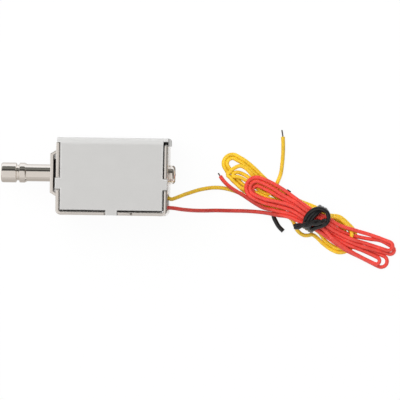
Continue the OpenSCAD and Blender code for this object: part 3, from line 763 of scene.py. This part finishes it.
def settle(lines, diameter, tie_wire):
    """Lets strands push each other apart and down onto the table, while what moves them stays smooth."""
    home = np.concatenate(lines)
    cord = np.concatenate([np.full(len(line), i) for i, line in enumerate(lines)])
    order = np.concatenate([np.arange(len(line)) for line in lines])
    ends = np.cumsum([0] + [len(line) for line in lines])
    free = np.ones(len(home), bool)
    for start, end in zip(ends, ends[1:]):
        free[start:start + HELD_START] = False
        free[end - HELD_END:end] = False
    shift = np.zeros_like(home)
    for turn in range(SETTLE_ROUNDS):
        now = home + shift
        if turn % SETTLE_LOOK == 0:
            size = (now ** 2).sum(axis=1)
            gaps = size[:, None] + size[None] - 2 * now @ now.T
            one, two = np.nonzero(np.triu(gaps < (SETTLE_REACH * diameter) ** 2, 1))
            apart = (cord[one] != cord[two]) | (order[two] - order[one] >= NEIGHBOURS)
            one, two = one[apart], two[apart]
        way = now[one] - now[two]
        gap = np.linalg.norm(way, axis=1)
        push = np.clip(SETTLE_CLOSE * diameter - gap, 0, None) / 2
        touching = push > 0
        way /= np.maximum(gap, SAME)[:, None]
        way[:, 2] += SETTLE_STEEP * np.sign(way[:, 2] + TINY)
        move = np.zeros_like(now)
        count = np.zeros(len(now))
        for side, sign in ((one, 1), (two, -1)):
            np.add.at(move, side, sign * way * push[:, None])
            np.add.at(count, side, touching)
        shift += SETTLE_PACE * move / np.maximum(count, 1)[:, None]
        shift[:, 2] -= SETTLE_SINK
        shift[~free] = 0
        for start, end in zip(ends, ends[1:]):
            part = shift[start:end]
            for _ in range(SMOOTH_ROUNDS):
                part[1:-1] = 0.5 * part[1:-1] + 0.25 * (part[:-2] + part[2:])
        shift[~free] = 0
        low = table_under(home + shift, diameter, tie_wire)
        shift[free, 2] = np.maximum(shift[free, 2], (low - home[:, 2])[free])
    now = home + shift
    return [now[start:end] for start, end in zip(ends, ends[1:])]


def twisted_strands(start, end, strand, around=6, turns=1.1, steps=14, fray=0.25):
    """Strands of a bare conductor: one in the middle, the others twisted round it and unevenly frayed."""
    start, end = Vector(start), Vector(end)
    ahead = (end - start).normalized()
    side = ahead.cross(UP).normalized()
    over = side.cross(ahead)
    middle = start - ahead * strand
    core = [middle + (end - middle) * i / steps for i in range(steps + 1)]
    lines = [[tuple(place) for place in core]]
    for wire in range(around):
        uneven = wire * 7 % 5 / 4
        line = []
        for i, place in enumerate(core):
            turn = math.tau * (wire / around + turns * i / steps)
            out = side * math.cos(turn) + over * math.sin(turn)
            line.append(tuple(place + out * strand * (1.0 + fray * (i / steps) ** 2 * uneven)))
        lines.append(line)
    return lines


# Twist tie: its wraps and its twisted ends as (along, across, up) from the middle of the bundle
TIE_WRAPS = (
    (1.2, 3.35, 5.9), (0.3, 3.45, 6.15), (-0.9, 3.2, 6.25), (-1.9, 2.5, 6.2), (-2.6, 1.4, 6.0),
    (-3.0, 0.1, 5.9), (-3.0, -1.1, 5.8), (-2.7, -2.2, 5.4),
    (-2.5, -3.1, 4.4), (-2.3, -3.45, 3.0), (-2.1, -3.4, 1.5), (-1.8, -2.9, 0.72), (-1.5, 0, 0.72),
    (-1.4, 2.9, 0.72), (-1.3, 3.5, 1.6), (-1.2, 3.6, 3.2),
    (-1.2, 3.05, 5.1), (-1.7, 1.6, 5.85), (-2.15, 0.1, 5.9), (-2.1, -1.2, 5.85), (-1.8, -2.3, 5.4),
    (-1.6, -3.15, 4.4), (-1.4, -3.5, 3.0), (-1.25, -3.4, 1.5), (-1.0, -2.9, 0.72), (-0.7, 0, 0.72),
    (-0.5, 2.9, 0.72), (-0.4, 3.5, 1.6), (-0.35, 3.65, 3.2),
    (-0.4, 3.2, 5.1), (-0.9, 1.8, 5.85), (-1.3, 0.3, 5.95), (-1.25, -1.2, 5.85), (-0.95, -2.3, 5.5),
    (-0.7, -3.15, 4.4), (-0.5, -3.5, 3.0), (-0.4, -3.4, 1.5), (-0.15, -2.9, 0.72), (0.2, 0, 0.72),
    (0.4, 2.9, 0.72), (0.5, 3.5, 1.6), (0.5, 3.75, 3.2),
    (0.6, 3.6, 4.9), (1.2, 3.4, 5.75), (1.95, 2.9, 5.95), (2.5, 2.1, 6.0), (2.75, 1.1, 6.0),
    (2.55, 0.1, 5.95), (1.9, -0.8, 5.9), (1.1, -1.6, 5.85), (0.5, -2.4, 5.6), (0.15, -3.15, 4.6),
    (0.1, -3.5, 3.2))
TIE_PAIR = (
    (2.2, 0.9, 6.4), (1.4, 0.2, 6.9), (0.4, -0.5, 7.1), (-0.8, -1.55, 7.1), (-2.0, -2.7, 6.9),
    (-3.3, -3.85, 6.4), (-4.6, -4.9, 5.8))
# The free end of the tie on the table, from the rear wall
TIE_FREE = (
    (33.85, -3.05, 0.63), (32.6, -5.0, 0.63), (31, -7.3, 0.63), (29.6, -9.4, 0.63), (29.5, -10.5, 0.63),
    (30.1, -11.9, 0.63), (31, -13.4, 0.63), (32.3, -14.7, 0.63))


def twisted_pair(line, apart, pitch):
    """Two lines that wind round one line, a distance apart."""
    line = np.array(line)
    ahead = np.gradient(line, axis=0)
    ahead /= np.linalg.norm(ahead, axis=1)[:, None]
    side = np.cross(ahead, UP)
    side /= np.linalg.norm(side, axis=1)[:, None]
    over = np.cross(side, ahead)
    turn = (math.tau * distance_along(line) / pitch)[:, None]
    out = side * np.cos(turn) + over * np.sin(turn)
    return [line + sign * apart / 2 * out for sign in (1, -1)]


# Stage

SENSOR = 36.0
CLIP_START = 0.005
WHITE = (1.0, 1.0, 1.0, 1.0)
FLOOR_RADIUS = 3.0
FLOOR_SIDES = 64
FLOOR_MIDDLE = (0.03, 0.0, -2e-5)
KEY_SIZE = 0.9
KEY_PLACE = (-0.25, 0.3, 0.75)
KEY_AIM = (0.03, 0.0, 0.0)
CARD_REACH = 0.6
CARD_LIFT = 1e-5
# Panels: heading and tilt from overhead in degrees, the angle that they span, length in metres, tone
CARDS = {
    "pale_ceiling": (0, 20.5, 79, 3.0, (0.74, 0.71, 0.68)),
    "dark_flag": (0, -31, 24, 3.0, (0.07, 0.07, 0.065)),
    "grey_flag": (0, -52, 18, 3.0, (0.22, 0.22, 0.2)),
    "low_flag": (0, -68.5, 15, 3.0, (0.1, 0.1, 0.09)),
    "warm_low_card": (0, 75, 30, 3.0, (0.58, 0.55, 0.52)),
    "dark_end_card": (90, 56, 68, 1.6, (0.17, 0.15, 0.13)),
}
# Cards on the floor, which stand for its shaded parts: low and high corner in metres, tone
FLOOR_CARDS = {
    "under_tongue": ((-0.6, -0.6), (-0.0095, 0.0075), (0.5, 0.47, 0.44)),
    "behind_tongue": ((-0.6, 0.0075), (-0.0095, 0.022), (0.76, 0.74, 0.72)),
    "behind_rear": ((0.0253, -0.0135), (0.06, 0.03), (0.3, 0.27, 0.24)),
    "before_base": ((-0.0095, -0.6), (0.0225, -0.0115), (0.2, 0.18, 0.16)),
}


def seen_ray(tree):
    """1 for rays that show a surface to the camera: straight, in gloss or through something clear."""
    rays = add(tree, "ShaderNodeLightPath").outputs
    seen = math_node(tree, "MAXIMUM", rays["Is Camera Ray"], rays["Is Glossy Ray"])
    return math_node(tree, "MAXIMUM", seen, rays["Is Transmission Ray"])


def empty_material(data, name):
    """Gives a mesh a new material without nodes; gives the material's tree."""
    material = bpy.data.materials.new(name)
    material.use_nodes = True
    material.node_tree.nodes.clear()
    data.materials.append(material)
    return material.node_tree


# Operators

class LOCK_OT_stage(bpy.types.Operator):
    """Makes the camera, the floor, the lights and the cards."""

    bl_idname = "lock.stage"
    bl_label = "Stage"

    def execute(self, context):
        own = settings("lock_stage")
        scene = context.scene
        scene.view_settings.view_transform = "Standard"
        data = bpy.data.cameras.new("camera")
        data.lens = own.lens
        data.sensor_width = SENSOR
        data.clip_start = CLIP_START
        camera = bpy.data.objects.new("camera", data)
        aim = Vector(own.aim) + Vector((REAR_WALL * MM, 0.0, 0.0))
        turn = Matrix.Rotation(own.lean, 4, "Y") @ Matrix.Rotation(own.roll, 4, "Z")
        camera.matrix_world = Matrix.Translation(aim) @ turn @ Matrix.Translation((0.0, 0.0, own.reach))
        scene.collection.objects.link(camera)
        scene.camera = camera
        self.floor(scene, own)
        self.lights(scene, own)
        self.cards(scene)
        return {"FINISHED"}

    def floor(self, scene, own):
        shape = bmesh.new()
        bmesh.ops.create_circle(shape, cap_ends=True, radius=FLOOR_RADIUS, segments=FLOOR_SIDES)
        bmesh.ops.translate(shape, verts=shape.verts, vec=FLOOR_MIDDLE)
        floor = to_object(shape, "floor")
        scene.collection.objects.link(floor)
        tree = empty_material(floor.data, "floor")
        plain = add(tree, "ShaderNodeBsdfDiffuse", {"Color": own.floor})
        glow = add(tree, "ShaderNodeEmission", {"Color": WHITE, "Strength": 1.0})
        pale = add(tree, "ShaderNodeMixShader", {0: own.shadow, 1: glow.outputs[0], 2: plain.outputs[0]})
        shown = add(tree, "ShaderNodeMixShader", {
            0: seen_ray(tree), 1: plain.outputs[0], 2: pale.outputs[0]})
        out = add(tree, "ShaderNodeOutputMaterial", {"Surface": shown.outputs[0]})
        out.is_active_output = True

    def lights(self, scene, own):
        world = bpy.data.worlds.new("studio")
        world.use_nodes = True
        tree = world.node_tree
        tree.nodes.clear()
        strength = ramp_value(tree, seen_ray(tree), 0.0, 1.0, own.fill, 1.0)
        light = add(tree, "ShaderNodeBackground", {"Color": WHITE, "Strength": strength})
        add(tree, "ShaderNodeOutputWorld", {"Surface": light.outputs[0]})
        scene.world = world
        data = bpy.data.lights.new("key", "AREA")
        data.energy = own.key
        data.size = KEY_SIZE
        key = bpy.data.objects.new("key", data)
        key.location = KEY_PLACE
        key.rotation_euler = (Vector(KEY_PLACE) - Vector(KEY_AIM)).to_track_quat("Z", "Y").to_euler()
        key.visible_glossy = False
        scene.collection.objects.link(key)

    def cards(self, scene):
        """Panels that show only in gloss, as the surroundings in a studio do."""
        for name, (heading, tilt, span, long, tone) in CARDS.items():
            wide = 2 * CARD_REACH * math.tan(math.radians(span / 2))
            turn = Matrix.Rotation(math.radians(heading), 4, "Z")
            turn = turn @ Matrix.Rotation(math.radians(tilt), 4, "X")
            self.card(scene, name, (long, wide), turn @ Matrix.Translation((0.0, 0.0, CARD_REACH)), tone)
        for name, (low, high, tone) in FLOOR_CARDS.items():
            low, high = Vector((*low, CARD_LIFT)), Vector((*high, CARD_LIFT))
            self.card(scene, name, (high - low)[:2], Matrix.Translation((low + high) / 2), tone)

    def card(self, scene, name, size, place, tone):
        shape = bmesh.new()
        bmesh.ops.create_grid(shape, x_segments=1, y_segments=1, size=0.5)
        bmesh.ops.scale(shape, verts=shape.verts, vec=(*size, 1.0))
        bmesh.ops.transform(shape, verts=shape.verts, matrix=place)
        card = to_object(shape, name)
        scene.collection.objects.link(card)
        card.visible_camera = False
        card.visible_diffuse = False
        card.visible_shadow = False
        card.visible_transmission = False
        tree = empty_material(card.data, name)
        plain = add(tree, "ShaderNodeEmission", {"Color": (*tone, 1.0), "Strength": 1.0})
        add(tree, "ShaderNodeOutputMaterial", {"Surface": plain.outputs[0]})


class LOCK_OT_leads(bpy.types.Operator):
    """Lays the red and the yellow lead, folded into their hanks, with their bare tinned ends."""

    bl_idname = "lock.leads"
    bl_label = "Leads"

    def execute(self, context):
        own = settings("lock_leads")
        wide = own.diameter / MM
        tie_wire = settings("lock_tie").diameter / MM
        step = 0.5
        lines = [smooth_line(red_route(), step), smooth_line(yellow_route(), step)]
        lines = settle(lines, wide, tie_wire)
        tin = plain_finish("tinned_copper", own.tin, roughness=0.4, metallic=1.0, grain=6000.0)
        ends = {
            "red": (own.red, own.red_lone_shade, RED_TAIL[-1], RED_TIP),
            "yellow": (own.yellow, own.yellow_lone_shade, YELLOW_TAIL[-1], YELLOW_TIP)}
        for line, (name, (base, lone_shade, cut, tip)) in zip(lines, ends.items()):
            points = line * MM
            cord = wire_curve(f"{name}_cord", [points], own.diameter)
            cord.data.materials.append(insulation(f"{name}_insulation", base, lone_shade))
            show(cord, BODY, f"{name}_insulation", f"{name}_lead", f"{name}_hank", f"{name}_tail")
            bare = behind_wall((cut, tip))
            strands = twisted_strands(*(Vector(p) * MM for p in bare), own.strand)
            end = wire_curve(f"{name}_bare_strands", strands, own.strand, fineness=1)
            end.data.materials.append(tin)
            show(end, BODY, "tinned_wire", f"{name}_tinned_end")
        return {"FINISHED"}


class LOCK_OT_sheet_box(bpy.types.Operator):
    """Rounds the sheared edges of the yoke and the cover and plates them."""

    bl_idname = "lock.sheet_box"
    bl_label = "Sheet box"

    def execute(self, context):
        own = settings("lock_sheet")
        for node, outline, finish in (
                ("yoke", own.yoke_round, bright_plate()), ("cover", own.cover_round, satin_plate())):
            piece = softened(node, f"{node}_sheet", own.edge_round, segments=3, outline=outline)
            piece.data.materials.append(finish)
            show(piece, BODY, "plated_steel", node)
        return {"FINISHED"}


class LOCK_OT_turned(bpy.types.Operator):
    """Polishes the tongue and the core screw."""

    bl_idname = "lock.turned"
    bl_label = "Tongue and screw"

    def execute(self, context):
        own = settings("lock_turned")
        finish = bright_nickel()
        for node, name, body in (
                ("plunger", "tongue_plunger", TONGUE), ("core_screw", "pan_head_screw", BODY)):
            piece = softened(node, name, own.edge_round)
            piece.data.materials.append(finish)
            show(piece, body, "polished_nickel", node)
        return {"FINISHED"}


class LOCK_OT_inside(bpy.types.Operator):
    """Gives the pieces inside the box their finishes."""

    bl_idname = "lock.inside"
    bl_label = "Coil, core and stops"

    def execute(self, context):
        own = settings("lock_coil")
        tin = settings("lock_leads").tin
        finishes = {
            "bobbin": plain_finish("moulded_nylon", own.nylon, roughness=0.45, tone=0.05),
            "coil_winding": plain_finish("enamelled_copper", own.copper, roughness=0.28, metallic=0.8),
            "coil_tape": plain_finish("coil_tape", own.tape, roughness=0.35),
            "terminal_pins": plain_finish("tinned_pins", tin, roughness=0.35, metallic=1.0),
            "guide_sleeve": plain_finish("drawn_brass", own.brass, roughness=0.25, metallic=1.0),
            "gap_shim": plain_finish("shim_brass", own.brass, roughness=0.3, metallic=1.0),
            "fixed_core": plain_finish("core_iron", own.iron, roughness=0.35, metallic=1.0),
            "stop_washer": plain_finish("stop_rubber", own.rubber, roughness=0.6),
        }
        for node, material in finishes.items():
            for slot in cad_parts[node].material_slots:
                slot.material = material
        self.spring(own)
        return {"FINISHED"}

    def spring(self, own):
        """An open coil between its two seats, built at one length, though the real spring shortens when the
        tongue goes in.
        """
        low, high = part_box("return_spring")
        middle = (low + high) / 2
        radius = own.spring_wire / 2
        around = 8
        per_turn = 28
        steps = per_turn * own.spring_turns
        reach = high.x - low.x
        shape = bmesh.new()
        bmesh.ops.create_circle(shape, cap_ends=True, radius=radius, segments=around)
        bmesh.ops.translate(shape, verts=shape.verts, vec=(low.x + radius, high.y - radius, middle.z))
        bmesh.ops.spin(
            shape, geom=shape.verts[:] + shape.edges[:] + shape.faces[:], cent=(0.0, middle.y, middle.z),
            axis=(1.0, 0.0, 0.0), dvec=((reach - 2 * radius) / steps, 0.0, 0.0),
            angle=math.tau * own.spring_turns, steps=steps, use_merge=False)
        bmesh.ops.recalc_face_normals(shape, faces=shape.faces)
        for face in shape.faces:
            face.smooth = True
        piece = to_object(shape, "coiled_spring")
        piece.data.materials.append(plain_finish("spring_steel", own.steel, roughness=0.25, metallic=1.0))
        show(piece, BODY, "spring_steel", "return_spring")
        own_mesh(piece)


class LOCK_OT_twist_tie(bpy.types.Operator):
    """Winds the tie round both hanks, twists its ends together and lays its free end on the table."""

    bl_idname = "lock.twist_tie"
    bl_label = "Twist tie"

    def execute(self, context):
        own = settings("lock_tie")
        step = 0.25
        pair_pitch = 5.5
        pair_apart = 0.6 * own.pair / MM
        finish = plain_finish("tie_plastic", own.plastic, roughness=0.3)
        wraps = smooth_line([TIE.at(*spot) for spot in TIE_WRAPS], step)
        pair = smooth_line([TIE.at(*spot) for spot in TIE_PAIR], step)
        free = smooth_line(behind_wall(TIE_FREE), step)
        for name, lines, diameter, node in (
                ("tie_wraps", [wraps], own.diameter, "twist_tie"),
                ("tie_pair", twisted_pair(pair, pair_apart, pair_pitch), own.pair, "tie_twisted_end"),
                ("tie_tail", [free], own.diameter, "tie_free_end")):
            piece = wire_curve(name, [line * MM for line in lines], diameter, fineness=3)
            piece.data.materials.append(finish)
            show(piece, BODY, "black_tie", node)
        return {"FINISHED"}


OPERATORS = (
    LOCK_OT_stage, LOCK_OT_leads, LOCK_OT_twist_tie, LOCK_OT_sheet_box, LOCK_OT_turned, LOCK_OT_inside)
GROUPS = {
    "lock_sheet": SheetSettings, "lock_turned": TurnedSettings, "lock_leads": LeadSettings,
    "lock_tie": TieSettings, "lock_coil": CoilSettings, "lock_stage": StageSettings}


class LOCK_PT_panel(bpy.types.Panel):
    """Lists the steps and the settings."""

    bl_idname = "LOCK_PT_panel"
    bl_label = "Cabinet lock"
    bl_space_type = "VIEW_3D"
    bl_region_type = "UI"
    bl_category = "Lock"

    def draw(self, context):
        for operator in OPERATORS:
            self.layout.operator(operator.bl_idname)
        for group in GROUPS:
            box = self.layout.box()
            own = settings(group)
            for name in own.__annotations__:
                box.prop(own, name)


def register():
    for kind in (*GROUPS.values(), *OPERATORS, LOCK_PT_panel):
        bpy.utils.register_class(kind)
    for name, kind in GROUPS.items():
        setattr(bpy.types.Scene, name, PointerProperty(type=kind))


def unregister():
    for name in GROUPS:
        delattr(bpy.types.Scene, name)
    for kind in (LOCK_PT_panel, *OPERATORS[::-1], *GROUPS.values()):
        bpy.utils.unregister_class(kind)


def main():
    register()
    bpy.ops.lock.stage()
    bpy.ops.lock.leads()
    bpy.ops.lock.twist_tie()
    bpy.ops.lock.sheet_box()
    bpy.ops.lock.turned()
    bpy.ops.lock.inside()


if __name__ == "__main__":
    main()
